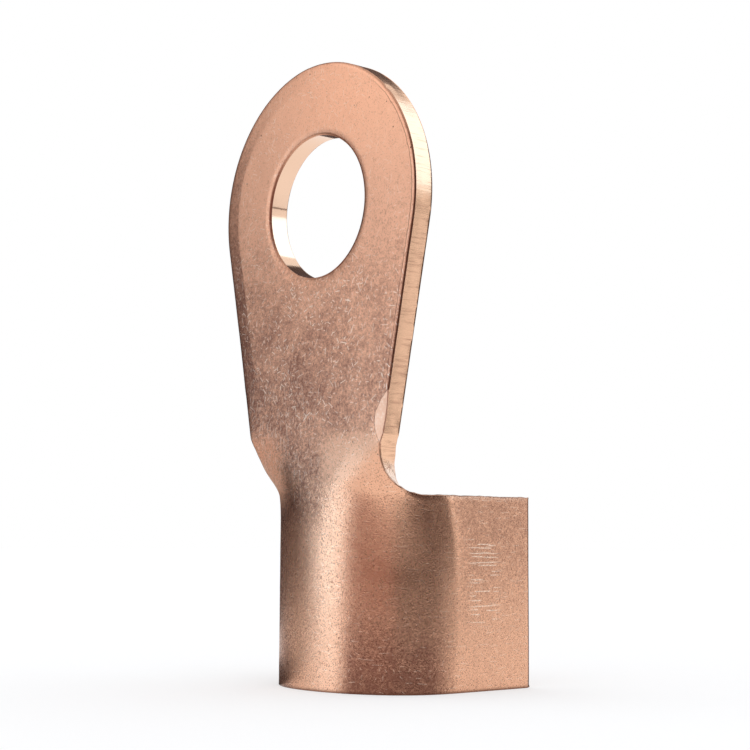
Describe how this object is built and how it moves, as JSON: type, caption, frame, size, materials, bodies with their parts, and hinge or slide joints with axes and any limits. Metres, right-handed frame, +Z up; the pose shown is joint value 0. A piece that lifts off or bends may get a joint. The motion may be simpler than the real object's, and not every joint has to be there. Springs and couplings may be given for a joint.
{
  "type": "copper cable lug",
  "caption": "Open-barrel ring terminal formed from copper sheet: a flat bolt-hole palm above a U-shaped barrel whose wings are crimped round a cable.",
  "frame": {"origin": "centre of the footprint, on the surface that the barrel's cable end stands on", "axes": "+Z up from the cable end to the palm, -Y the way the palm's outer face looks, +Y the way the barrel's wings run, X across the palm"},
  "size_m": [0.0204, 0.0138, 0.0441],
  "materials": {
    "bare_copper": "bare tumbled copper, satin, lightly scratched"
  },
  "bodies": {
    "root": {"lug": "bare_copper"}
  },
  "joints": []
}
